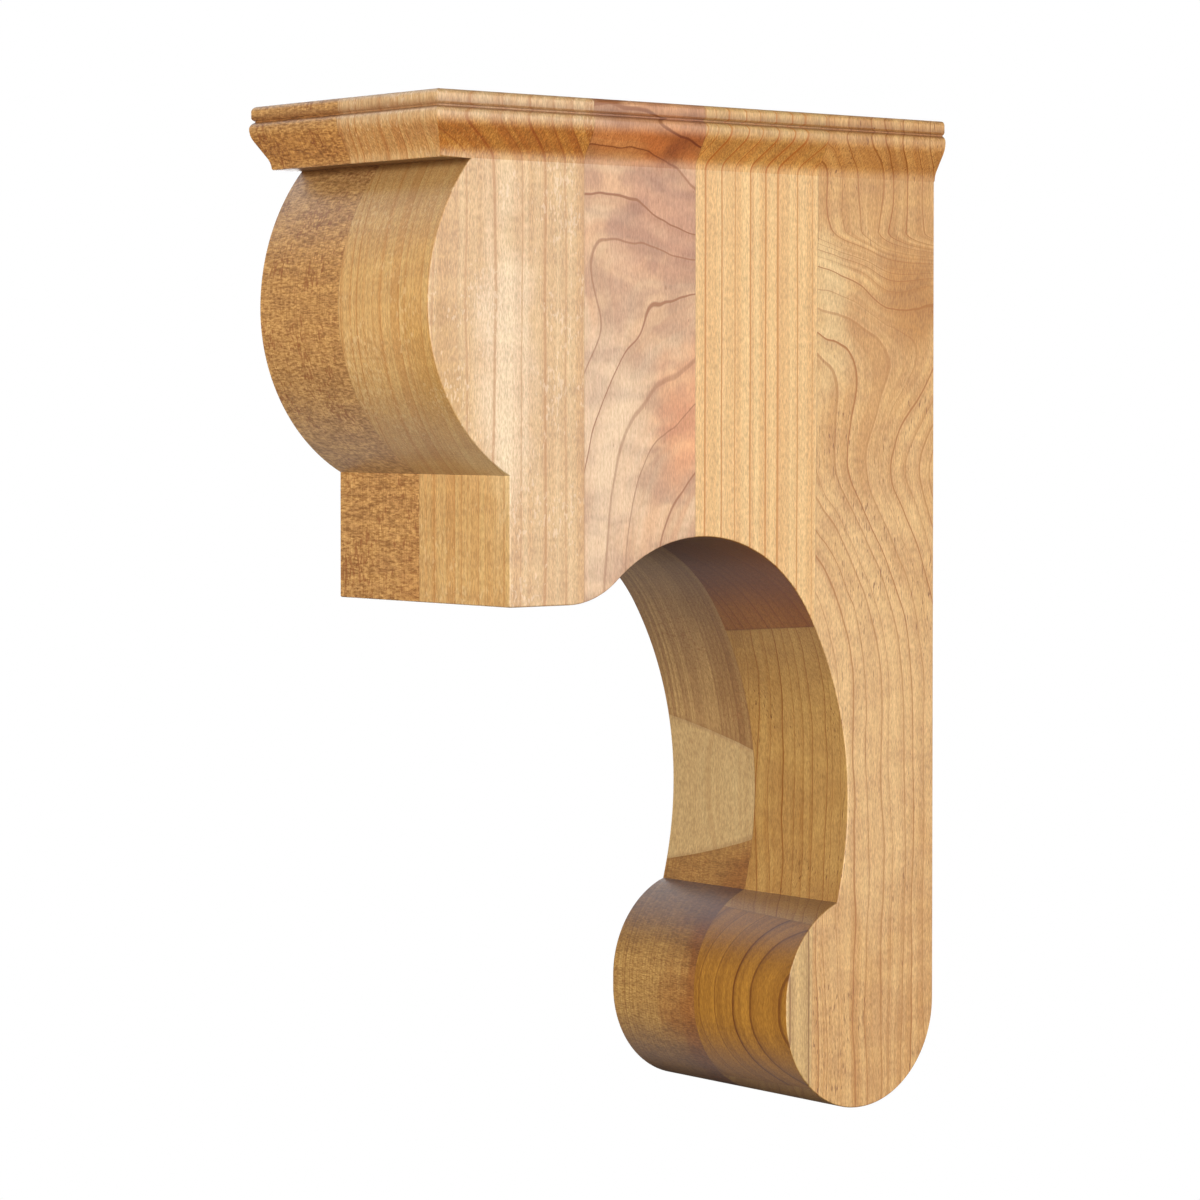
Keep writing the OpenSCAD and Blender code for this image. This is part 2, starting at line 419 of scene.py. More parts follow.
# %% The joint planes
RIGHT, LEFT = 1, -1
LAYER_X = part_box("right_back_stave")[0].x
JOINT_SKEW = 2.3
FIRST_JOINTS = {RIGHT: (53.3, -JOINT_SKEW, 0.5), LEFT: (39.7, JOINT_SKEW, 1.0)}  # mm out, skew, lean


def joint_plane(side, number):
    """A point on a layer's joint, counted from the wall, and its normal, which points at the wall."""
    if number == 1:
        out, skew, lean = FIRST_JOINTS[side]
        s, t = math.radians(skew), math.radians(lean)
        normal = Vector((-math.sin(s) * math.cos(t), math.cos(s) * math.cos(t), -math.sin(t)))
        return Vector((0, -out * MM, 0)), normal
    layer = "right" if side == RIGHT else "left"
    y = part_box("%s_%s_stave" % (layer, "second" if number == 2 else "front"))[1].y
    return Vector((0, y, 0)), Vector((0, 1, 0))


print("layer joint at x = %.1f mm, first joints %.1f and %.1f mm out"
      % (LAYER_X / MM, FIRST_JOINTS[RIGHT][0], FIRST_JOINTS[LEFT][0]))

# %% Cutting one stave
CURVED_BELOW = math.radians(20)  # faces that meet at less than this are shaded as one curve


def cut(bm, point, normal):
    """Keeps what lies on the side that the normal points at, and closes the cut."""
    made = bmesh.ops.bisect_plane(bm, geom=bm.verts[:] + bm.edges[:] + bm.faces[:], dist=1e-7,
                                  plane_co=point, plane_no=normal, clear_inner=True)
    edge = [g for g in made["geom_cut"] if isinstance(g, bmesh.types.BMEdge) and g.is_boundary]
    bmesh.ops.holes_fill(bm, edges=edge, sides=0)


def in_order(bm):
    """The points and faces of a cut mesh, sorted by place."""
    points = sorted(bm.verts, key=lambda v: v.co[:])
    number = {point: i for i, point in enumerate(points)}
    rings = []
    for face in bm.faces:
        ring = [number[v] for v in face.verts]
        first = ring.index(min(ring))
        rings.append(ring[first:] + ring[:first])
    return [v.co[:] for v in points], sorted(rings)


def stave_mesh(name, side, inner, outer, keep_above):
    """One stave between two joints of a layer. 0 is the wall, and None is the open air."""
    bm = shaped.copy()
    cut(bm, Vector((LAYER_X, 0, 0)), Vector((side, 0, 0)))
    if inner:
        point, normal = joint_plane(side, inner)
        cut(bm, point, -normal)
    if outer:
        cut(bm, *joint_plane(side, outer))
    if keep_above is not None:
        waist = Vector((0, 0, (top_z + waist_y) * MM))
        cut(bm, waist, Vector((0, 0, 1 if keep_above else -1)))
    bmesh.ops.dissolve_degenerate(bm, dist=1e-6, edges=bm.edges)
    open_edges = sum(not e.is_manifold for e in bm.edges)
    points, faces = in_order(bm)
    bm.free()
    mesh = bpy.data.meshes.new(name)
    mesh.from_pydata(points, [], faces)
    mesh.polygons.foreach_set("use_smooth", [True] * len(mesh.polygons))
    mesh.set_sharp_from_angle(angle=CURVED_BELOW)
    print("%s: %d faces, %d open edges" % (name, len(mesh.polygons), open_edges))
    return mesh


def smooth_by_area(piece):
    """Gives the big flat faces their true normals, so that only the curves are shaded round."""
    weigh = piece.modifiers.new("weigh", "WEIGHTED_NORMAL")
    weigh.mode = "FACE_AREA"
    weigh.keep_sharp = True
    dg = bpy.context.evaluated_depsgraph_get()
    mesh = bpy.data.meshes.new_from_object(piece.evaluated_get(dg))
    piece.modifiers.remove(weigh)
    piece.data = mesh


print("ready to cut", len(shaped.faces), "faces")

# %% [markdown]
# Both layers are cut alike. The cove runs right through the third board, so what is left of it above the
# waist of the leg and below it are two pieces.

# %% Cut them all
STAVES = {
    "front_stave": (3, None, None),
    "second_stave": (2, 3, None),
    "third_stave": (1, 2, True),
    "back_stave": (0, 1, None),
    "scroll_nose": (1, 2, False),
}
pieces = {}
for layer, side in (("right_", RIGHT), ("left_", LEFT)):
    for name, (inner, outer, keep_above) in STAVES.items():
        node = layer + name
        stave = bpy.data.objects.new("maple_" + node, stave_mesh(node, side, inner, outer, keep_above))
        bpy.context.collection.objects.link(stave)
        smooth_by_area(stave)
        pieces[node] = stave
shaped.free()
print("cut", len(pieces), "staves")

# %% [markdown]
# ## The wood
#
# Maple is pale and close-grained. What tells one board from the next is how it was sawn from the log:
# growth rings are cylinders round the pith, so a board's figure is simply where its faces cut through
# those cylinders. The materials work the same way. A board's own place in the log is given, as the
# pith's place beside it, and one node group works out the rings in space. The lines then run from the
# side over the moulding, the scrolls and the ends, as they do in solid wood.

# %% Maths for shader trees
def calc(tree, operation, *values):
    """The result of a math node."""
    return add(tree, "ShaderNodeMath", dict(enumerate(values)), operation=operation).outputs[0]


def vcalc(tree, operation, *values):
    """The vector result of a vector math node."""
    return add(tree, "ShaderNodeVectorMath", dict(enumerate(values)), operation=operation).outputs[0]


def smooth(tree, value, low, high):
    """0 below low and 1 above high, with a soft step between. With low above high it runs down."""
    return add(tree, "ShaderNodeMapRange", {"Value": value, "From Min": low, "From Max": high},
               interpolation_type="SMOOTHSTEP").outputs[0]


def blend(tree, factor, under, over, kind="MIX"):
    """One colour over another."""
    return add(tree, "ShaderNodeMix", {0: factor, 6: under, 7: over}, data_type="RGBA",
               blend_type=kind).outputs[2]


def split(tree, vector):
    """The three numbers of a vector."""
    return add(tree, "ShaderNodeSeparateXYZ", {0: vector}).outputs


def stretch(tree, vector, x, y, z):
    """A vector divided by a size along each axis, which sets the scale of a pattern."""
    size = add(tree, "ShaderNodeCombineXYZ", {0: x, 1: y, 2: z}).outputs[0]
    return vcalc(tree, "DIVIDE", vector, size)


def noise(tree, vector, detail=2.0, roughness=0.5, distortion=0.0):
    """A noise texture's value, with one blob to a unit."""
    return add(tree, "ShaderNodeTexNoise", {"Vector": vector, "Scale": 1.0, "Detail": detail,
               "Roughness": roughness, "Distortion": distortion}).outputs[0]


KINDS = {float: "NodeSocketFloat", tuple: "NodeSocketVector", str: "NodeSocketColor"}


def shader_group(name, inputs, outputs):
    """A shader node group with its interface, and the sockets to read and to fill inside it."""
    tree = bpy.data.node_groups.new(name, "ShaderNodeTree")
    for label, value in inputs.items():
        socket(tree, label, KINDS[type(value)], default=None if type(value) is str else value)
    for label, kind in outputs.items():
        socket(tree, label, kind, "OUTPUT")
    return tree, add(tree, "NodeGroupInput").outputs, add(tree, "NodeGroupOutput").inputs


print("helpers: calc, vcalc, smooth, blend, split, stretch, noise, shader_group")

# %% [markdown]
# The ring group takes a place in millimetres. The pith is a line along the grain that may lean away
# from the board over a stretch of its height, and drift along it: that is what turns straight lines
# into the arched figure of a flat-sawn board. Wood grows round a knot, so near one the rings bulge. A
# Wave texture draws rings too, but evenly spaced ones, so the distance from the pith is worked out here.

# %% Growth rings, where they run
DRIFT_BACK = 22.0  # mm over which a drift runs out at its top
GRAIN_PULL = 2.5  # how much longer a wobble is along the grain than across it

tree, given, made = shader_group("growth_rings", {
    "Vector": (0, 0, 0), "Pith": (0, 0, 0), "Lean": (0, 0, 1), "Drift": (0, 0, 1), "Drift Top": 1000.0,
    "Ring Width": 4.0, "Uneven": 1.2, "Wobble": 0.0, "Wobble Size": 40.0, "Softness": 0.12,
    "Knot": (0, 0, 0), "Knot Reach": 10.0, "Knot Push": 0.0, "Seed": 0.0},
    {"Line": "NodeSocketFloat", "Tone": "NodeSocketFloat"})
x, y, z = split(tree, given["Vector"])
lean_by, lean_from, lean_to = split(tree, given["Lean"])
drift_by, drift_from, drift_to = split(tree, given["Drift"])
pith_x, pith_y, _ = split(tree, given["Pith"])

above = calc(tree, "SMOOTH_MAX", calc(tree, "SUBTRACT", z, lean_from), 0.0, 40.0)
rise = calc(tree, "SMOOTH_MIN", above, calc(tree, "SUBTRACT", lean_to, lean_from), 20.0)
from_x = calc(tree, "ADD", calc(tree, "SUBTRACT", x, pith_x), calc(tree, "MULTIPLY", lean_by, rise))
drifted = calc(tree, "MULTIPLY", drift_by, smooth(tree, z, drift_from, drift_to))
back_again = smooth(tree, z, given["Drift Top"], calc(tree, "SUBTRACT", given["Drift Top"], DRIFT_BACK))
drifted = calc(tree, "MULTIPLY", drifted, back_again)
from_y = calc(tree, "SUBTRACT", calc(tree, "SUBTRACT", y, pith_y), drifted)
radius = calc(tree, "SQRT", calc(tree, "ADD", calc(tree, "MULTIPLY", from_x, from_x),
                                 calc(tree, "MULTIPLY", from_y, from_y)))

size = given["Wobble Size"]
bent = noise(tree, stretch(tree, given["Vector"], size, size, calc(tree, "MULTIPLY", size, GRAIN_PULL)), 2.5)
bend = calc(tree, "MULTIPLY", calc(tree, "SUBTRACT", bent, 0.5), calc(tree, "MULTIPLY", given["Wobble"], 4.0))
to_knot = add(tree, "ShaderNodeVectorMath", {0: given["Vector"], 1: given["Knot"]},
              operation="DISTANCE").outputs[1]
near = calc(tree, "DIVIDE", to_knot, given["Knot Reach"])
hump = calc(tree, "EXPONENT", calc(tree, "MULTIPLY", calc(tree, "MULTIPLY", near, near), -1.0))
knotted = calc(tree, "MULTIPLY", hump, given["Knot Push"])
grown = calc(tree, "ADD", calc(tree, "ADD", radius, bend), knotted)
number = calc(tree, "ADD", calc(tree, "DIVIDE", grown, given["Ring Width"]), given["Seed"])
print("growth_rings: places every point in its year")

# %% [markdown]
# A year's growth starts pale in spring and ends in a thin dark line in autumn, soft on the inside and
# abrupt on the outside. A noise makes the years unequally wide, and a random number for each year makes
# some lines darker than others. The group also gives a slow tone, which colours whole bands of years.

# %% Growth rings, what a year looks like
LATE = 0.97  # the part of a year at which its line is darkest
VEIL = 0.22  # the shade before the line, as a share of the line's

slow = add(tree, "ShaderNodeTexNoise", {"W": calc(tree, "MULTIPLY", number, 0.61), "Scale": 1.0,
           "Detail": 1.0}, noise_dimensions="1D").outputs[0]
year = calc(tree, "ADD", number, calc(tree, "MULTIPLY", calc(tree, "SUBTRACT", slow, 0.5), given["Uneven"]))
part_year = calc(tree, "FRACT", year)
core = smooth(tree, part_year, calc(tree, "SUBTRACT", LATE, given["Softness"]),
              calc(tree, "MULTIPLY_ADD", given["Softness"], -0.4, LATE))
veil = calc(tree, "MULTIPLY", smooth(tree, part_year, 0.45, 0.96), VEIL)
late = calc(tree, "MAXIMUM", core, veil)
edge = smooth(tree, part_year, 1.0, LATE)
chance = add(tree, "ShaderNodeTexWhiteNoise", {"W": calc(tree, "FLOOR", year)},
             noise_dimensions="1D").outputs[0]
depth = calc(tree, "MULTIPLY_ADD", chance, 0.5, 0.5)
line = calc(tree, "MULTIPLY", calc(tree, "MULTIPLY", late, edge), depth)
tone = add(tree, "ShaderNodeTexNoise", {"W": calc(tree, "MULTIPLY", year, 1.7), "Scale": 1.0, "Detail": 3.0,
           "Roughness": 0.6}, noise_dimensions="1D").outputs[0]
tree.links.new(line, made["Line"])
tree.links.new(tone, made["Tone"])
growth_rings = tree
print("growth_rings:", len(tree.nodes), "nodes")

# %% [markdown]
# Three finer effects lie over the rings. Fibre is the streaky shimmer along the grain. Flecks are the
# short dashes where a face cuts along the rays of the wood, which show most on a quarter-sawn board.
# Curl is the soft silky ripple across the grain. Each is a noise in space, stretched to its own size, so
# it needs no unwrapping and runs on round every edge.

# %% Fibre, flecks and curl
tree, given, made = shader_group("fibre", {"Vector": (0, 0, 0), "Width": 0.5, "Length": 2.5},
                                 {"Streak": "NodeSocketFloat"})
fine = stretch(tree, given["Vector"], given["Width"], given["Width"], given["Length"])
streak = noise(tree, fine, 3.0, 0.6)
tree.links.new(smooth(tree, streak, 0.3, 0.7), made["Streak"])
fibre = tree

# A fleck is where its noise passes a limit. The limit is lower in some patches, so the flecks crowd there.
NO_FLECKS = 0.76
MOST_FLECKS = 0.42
tree, given, made = shader_group("flecks", {"Vector": (0, 0, 0), "Size": (1, 1, 1), "Amount": 0.5,
                                            "Patch Size": 25.0}, {"Fleck": "NodeSocketFloat"})
dash = noise(tree, vcalc(tree, "DIVIDE", given["Vector"], given["Size"]), 1.0, 0.5, 0.3)
size = given["Patch Size"]
patch = noise(tree, stretch(tree, given["Vector"], size, size, size), 1.0)
plenty = calc(tree, "MULTIPLY", smooth(tree, patch, 0.3, 0.7), given["Amount"])
limit = calc(tree, "MULTIPLY_ADD", plenty, MOST_FLECKS - NO_FLECKS, NO_FLECKS)
tree.links.new(smooth(tree, dash, limit, calc(tree, "ADD", limit, 0.07)), made["Fleck"])
flecks = tree

tree, given, made = shader_group("curl", {"Vector": (0, 0, 0), "Across": 26.0, "Along": 7.0},
                                 {"Ripple": "NodeSocketFloat"})
size = given["Across"]
wave = noise(tree, stretch(tree, given["Vector"], size, size, given["Along"]), 2.0, 0.45, 0.6)
tree.links.new(smooth(tree, wave, 0.32, 0.68), made["Ripple"])
curl = tree
print("fibre, flecks, curl: ready")

# %% [markdown]
# Where a cutter has run across the grain, as in the hollow of the moulding, the wood drinks the finish
# and turns deeper and more amber. The hollow also faces down, away from the lights, so part of this
# deeper amber is painted shade. The group raises the colour to a power there, which deepens the weak
# channels most. On the lower half of the bead and in the groove under it, a painted shade stands for the
# shadow of the round bead. All of this could be painted on the mesh, but height and facing say where it
# belongs, and they follow the moulding by themselves.

# %% Thirsty grain and painted shade, on the moulding
# The amber of the hollow is partly painted shade, and the two colours after it are painted shadow under the
# bead and under the cap.
AMBER = (1.0, 0.85, 0.45, 1.0)
BEAD_SHADOW_COLOUR = (0.50, 0.36, 0.26, 1.0)
CAP_SHADOW_COLOUR = (0.42, 0.30, 0.22, 1.0)

tree, given, made = shader_group("thirsty_grain_and_shade", {
    "Color": "", "Vector": (0, 0, 0), "Facing": (0, 0, 1), "Soffit": 145.0, "Shoulder": 158.0,
    "Groove": 160.0, "Hollow": 0.9, "Ends": "", "Cut": ""}, {"Color": "NodeSocketColor"})
height = split(tree, given["Vector"])[2]
face_x, face_y, face_z = split(tree, given["Facing"])
lip = smooth(tree, height, given["Soffit"], calc(tree, "ADD", given["Soffit"], 0.2))
over = smooth(tree, height, given["Soffit"], calc(tree, "ADD", given["Soffit"], 5.0))
below = smooth(tree, height, given["Shoulder"], calc(tree, "SUBTRACT", given["Shoulder"], 5.0))
across = calc(tree, "MULTIPLY_ADD", smooth(tree, calc(tree, "ABSOLUTE", face_x), 0.2, 0.6), 0.55, 0.45)
rising = calc(tree, "MULTIPLY_ADD", over, 0.65, calc(tree, "MULTIPLY", lip, 0.35))
not_back = smooth(tree, face_y, 0.8, 0.5)
hollow = calc(tree, "MULTIPLY", calc(tree, "MULTIPLY", rising, below),
              calc(tree, "MULTIPLY", across, not_back))
# painted shade in part: the hollow faces down, and its deeper amber stands for that shade as well as for the
# cross-cut grain's own colour
amber = calc(tree, "MULTIPLY", hollow, given["Hollow"])
power = calc(tree, "MULTIPLY_ADD", amber, 0.9, 1.0)
deep = add(tree, "ShaderNodeGamma", {0: given["Color"], 1: power}).outputs[0]
deep = blend(tree, amber, deep, AMBER, "MULTIPLY")
# painted shade: the lower half of the round bead and the groove under it, darkened as if in shadow
above_groove = calc(tree, "SUBTRACT", height, given["Groove"])
groove = calc(tree, "MULTIPLY", smooth(tree, above_groove, 3.4, 0.2), smooth(tree, above_groove, -1.3, -0.5))
groove = calc(tree, "MULTIPLY", calc(tree, "MULTIPLY", groove, not_back), 0.8)
deep = blend(tree, groove, deep, BEAD_SHADOW_COLOUR, "MULTIPLY")
print("thirsty_grain_and_shade: shades the hollow and the groove")

# %% [markdown]
# Below the cap, the same group reads which way a face looks. The sawn front and inner faces get a tint of
# their own, and so do the faces that look up or down, where the end grain shows. Each tint is partly the
# colour of that wood and partly painted shade of faces turned away from the lights, as inside the arch.
# The tight corner under the soffit gets a painted shadow, the shade that the cap throws there.

# %% Thirsty grain and painted shade, on the body
body = calc(tree, "SUBTRACT", 1.0, calc(tree, "MULTIPLY", lip, not_back))
# painted shade in part: sawn front and inner faces get their board's cut tint, which also darkens faces
# turned from the side light
turned = calc(tree, "MULTIPLY", smooth(tree, calc(tree, "ABSOLUTE", face_x), 0.7, 0.3), body)
deep = blend(tree, turned, deep, given["Cut"], "MULTIPLY")
# painted shade in part: faces that look up or down get the ends tint, for the end grain and for their shade
ends = calc(tree, "MULTIPLY", smooth(tree, calc(tree, "ABSOLUTE", face_z), 0.1, 0.75), body)
deep = blend(tree, ends, deep, given["Ends"], "MULTIPLY")
# painted shadow: the sawn faces just under the soffit are darkened, where the cap throws its shade
shadow_under_cap = smooth(tree, calc(tree, "SUBTRACT", given["Soffit"], height), 3.2, 0.2)
corner = calc(tree, "MULTIPLY", calc(tree, "MULTIPLY", shadow_under_cap, not_back),
              calc(tree, "MULTIPLY", turned, 0.85))
tree.links.new(blend(tree, corner, deep, CAP_SHADOW_COLOUR, "MULTIPLY"), made["Color"])
thirsty_grain_and_shade = tree
print("thirsty_grain_and_shade:", len(tree.nodes), "nodes")

# %% [markdown]
# A stain is a soft cloud of another colour, such as the pink flame of heartwood or the shade round a
# knot: a ball, stretched to a size and made ragged by a noise. A glue joint is only a hair-thin line, so
# its group finds how far a place is from the joint's plane.

# %% Stains and glue lines
tree, given, made = shader_group("stain", {"Vector": (0, 0, 0), "Centre": (0, 0, 0), "Size": (10, 10, 10)},
                                 {"Cloud": "NodeSocketFloat"})
away = vcalc(tree, "DIVIDE", vcalc(tree, "SUBTRACT", given["Vector"], given["Centre"]), given["Size"])
ragged = calc(tree, "SUBTRACT", noise(tree, stretch(tree, given["Vector"], 14.0, 14.0, 22.0), 3.0), 0.5)
span = add(tree, "ShaderNodeVectorMath", {0: away}, operation="LENGTH").outputs[1]
cloud = smooth(tree, calc(tree, "MULTIPLY_ADD", ragged, 1.5, span), 1.25, 0.35)
tree.links.new(cloud, made["Cloud"])
stain = tree

tree, given, made = shader_group("glue_line", {"Vector": (0, 0, 0), "Joint": (0, 0, 0), "Across": (0, 1, 0),
                                               "Width": 0.35}, {"Glue": "NodeSocketFloat"})
from_joint = vcalc(tree, "SUBTRACT", given["Vector"], given["Joint"])
away = add(tree, "ShaderNodeVectorMath", {0: from_joint, 1: given["Across"]},
           operation="DOT_PRODUCT").outputs[1]
glue = smooth(tree, calc(tree, "ABSOLUTE", away), given["Width"], 0.0)
tree.links.new(glue, made["Glue"])
glue_line = tree
print("stain, glue_line: ready")

# %% [markdown]
# One function builds the material of a board from its own values, in the order in which the wood gets
# its colour: the plain wood and its broad tone, the stains, the fibre, the curl, the ring lines, the
# flecks, the glue, and last the thirsty grain with the painted shade under the bead and the cap and on
# faces turned from the lights. The satin finish is the Principled shader's own roughness and coat. Ten
# materials made by hand would do as well, but one function keeps them alike in the right ways.

# %% Placing a group in a material
def place_group(tree, group, **values):
    """A node group in a material, with its values. Underscores in the names stand for spaces."""
    node = add(tree, "ShaderNodeGroup", node_tree=group)
    for key, value in values.items():
        key = key.replace("_", " ")
        if isinstance(value, bpy.types.NodeSocket):
            tree.links.new(value, node.inputs[key])
        else:
            node.inputs[key].default_value = value
    return node.outputs


def rgb(color):
    return (*color, 1.0)


print("helpers: place_group, rgb")

# %% A board's material
# A fibre is (width, length, depth) and a fleck is (size, amount, patch size, colour, depth).
FINE_FIBRE = ((0.45, 1.8, 0.42), (1.1, 14.0, 0.12))
FINE_FLECK = ((0.5, 0.7, 2.6), 0.5, 22.0, (0.45, 0.22, 0.08), 0.3)
DULL, BRIGHT = (0.50, 0.42, 0.32), (1.48, 1.54, 1.62)
SILK = (1.0, 0.95, 0.85)
GLUE = (0.30, 0.15, 0.06)
ROUGHNESS = 0.45


def maple(name, base, line, pith, width, strength=0.7, tint=None, tone=0.3, lean=(0, 0, 1),
          drift=(0, 0, 1), drift_top=1000.0, uneven=1.2, wobble=0.6, wobble_size=40.0, softness=0.12,
          knot=((0, 0, 0), 10.0, 0.0), seed=0.0, fibres=FINE_FIBRE, fleck=(FINE_FLECK,), stains=(),
          ripple=0.08, ripple_size=(26.0, 7.0), hollow=0.3, ends=(0.70, 0.70, 0.72), cut=(1, 1, 1),
          joints=()):
    """A board's material. A stain is (centre, size, colour, depth). All sizes are in millimetres."""
    material = bpy.data.materials.new(name)
    material.use_nodes = True
    tree = material.node_tree
    shader = tree.nodes["Principled BSDF"]
    where = add(tree, "ShaderNodeTexCoord").outputs
    at = add(tree, "ShaderNodeVectorMath", {0: where["Object"], 3: 1 / MM}, operation="SCALE").outputs[0]

    ring = place_group(tree, growth_rings, Vector=at, Pith=(*pith, 0), Lean=lean, Drift=drift,
                       Drift_Top=drift_top, Ring_Width=width, Uneven=uneven, Wobble=wobble,
                       Wobble_Size=wobble_size, Softness=softness, Knot=knot[0], Knot_Reach=knot[1],
                       Knot_Push=knot[2], Seed=seed)
    streaks = [place_group(tree, fibre, Vector=at, Width=wide, Length=long)["Streak"]
               for wide, long, _ in fibres]
    silk = place_group(tree, curl, Vector=at, Across=ripple_size[0], Along=ripple_size[1])["Ripple"]

    broad = smooth(tree, ring["Tone"], 0.32, 0.68)
    color = blend(tree, calc(tree, "MULTIPLY", broad, tone), rgb(base), rgb(tint or line))
    for centre, size, shade, depth in stains:
        cloud = place_group(tree, stain, Vector=at, Centre=centre, Size=size)["Cloud"]
        color = blend(tree, calc(tree, "MULTIPLY", cloud, depth), color, rgb(shade))
    for streak, (_, _, depth) in zip(streaks, fibres):
        shimmer = blend(tree, streak, rgb(DULL), rgb(BRIGHT))
        color = blend(tree, depth, color, shimmer, "MULTIPLY")
    color = blend(tree, calc(tree, "MULTIPLY", silk, ripple), color, rgb(SILK), "SOFT_LIGHT")
    color = blend(tree, calc(tree, "MULTIPLY", ring["Line"], strength), color, rgb(line))
    for size, amount, patch_size, shade, depth in fleck:
        dashes = place_group(tree, flecks, Vector=at, Size=size, Amount=amount,
                             Patch_Size=patch_size)["Fleck"]
        color = blend(tree, calc(tree, "MULTIPLY", dashes, depth), color, rgb(shade))
    for point, normal in joints:
        glue = place_group(tree, glue_line, Vector=at, Joint=tuple(point / MM),
                           Across=tuple(normal))["Glue"]
        color = blend(tree, calc(tree, "MULTIPLY", glue, 0.35), color, rgb(GLUE))
    # this group adds the painted shade of the hollow, the bead, the corner under the cap and the faces turned
    # from the lights
    color = place_group(tree, thirsty_grain_and_shade, Color=color, Vector=at, Facing=where["Normal"],
                        Soffit=top_z - cap_h, Shoulder=top_z - ogee_top + 0.5,
                        Groove=top_z - bead_h - quirk_h / 2, Hollow=hollow, Ends=rgb(ends),
                        Cut=rgb(cut))["Color"]

    tree.links.new(color, shader.inputs["Base Color"])
    tree.links.new(calc(tree, "MULTIPLY_ADD", streaks[0], -0.06, ROUGHNESS), shader.inputs["Roughness"])
    shader.inputs["IOR"].default_value = 1.5
    shader.inputs["Coat Weight"].default_value = 0.15
    shader.inputs["Coat Roughness"].default_value = 0.3
    relief = calc(tree, "SUBTRACT", streaks[0], ring["Line"])
    bump = add(tree, "ShaderNodeBump", {"Height": relief, "Strength": 0.12, "Distance": 0.0002})
    tree.links.new(bump.outputs[0], shader.inputs["Normal"])
    return material


print("maple: ready")

# %% [markdown]
# The values below are the boards themselves. A pith far off gives the straight lines of a quarter-sawn
# board, and a near one the arches of a flat-sawn board. Staves that lie side by side come from different
# planks, so they differ in colour too. The right layer has the lively boards, and the left one plainer
# wood. One table holds all ten, because a board is easiest to tune when its neighbours stand beside it.

# %% The ten boards
R1, R2, R3 = (joint_plane(1, n) for n in (1, 2, 3))
L1, L2, L3 = (joint_plane(-1, n) for n in (1, 2, 3))
LAYER = (Vector((LAYER_X, 0, 0)), Vector((1, 0, 0)))

PALE = (0.80, 0.62, 0.42)
RUST = (0.26, 0.085, 0.025)
BARK = (0.20, 0.07, 0.02)
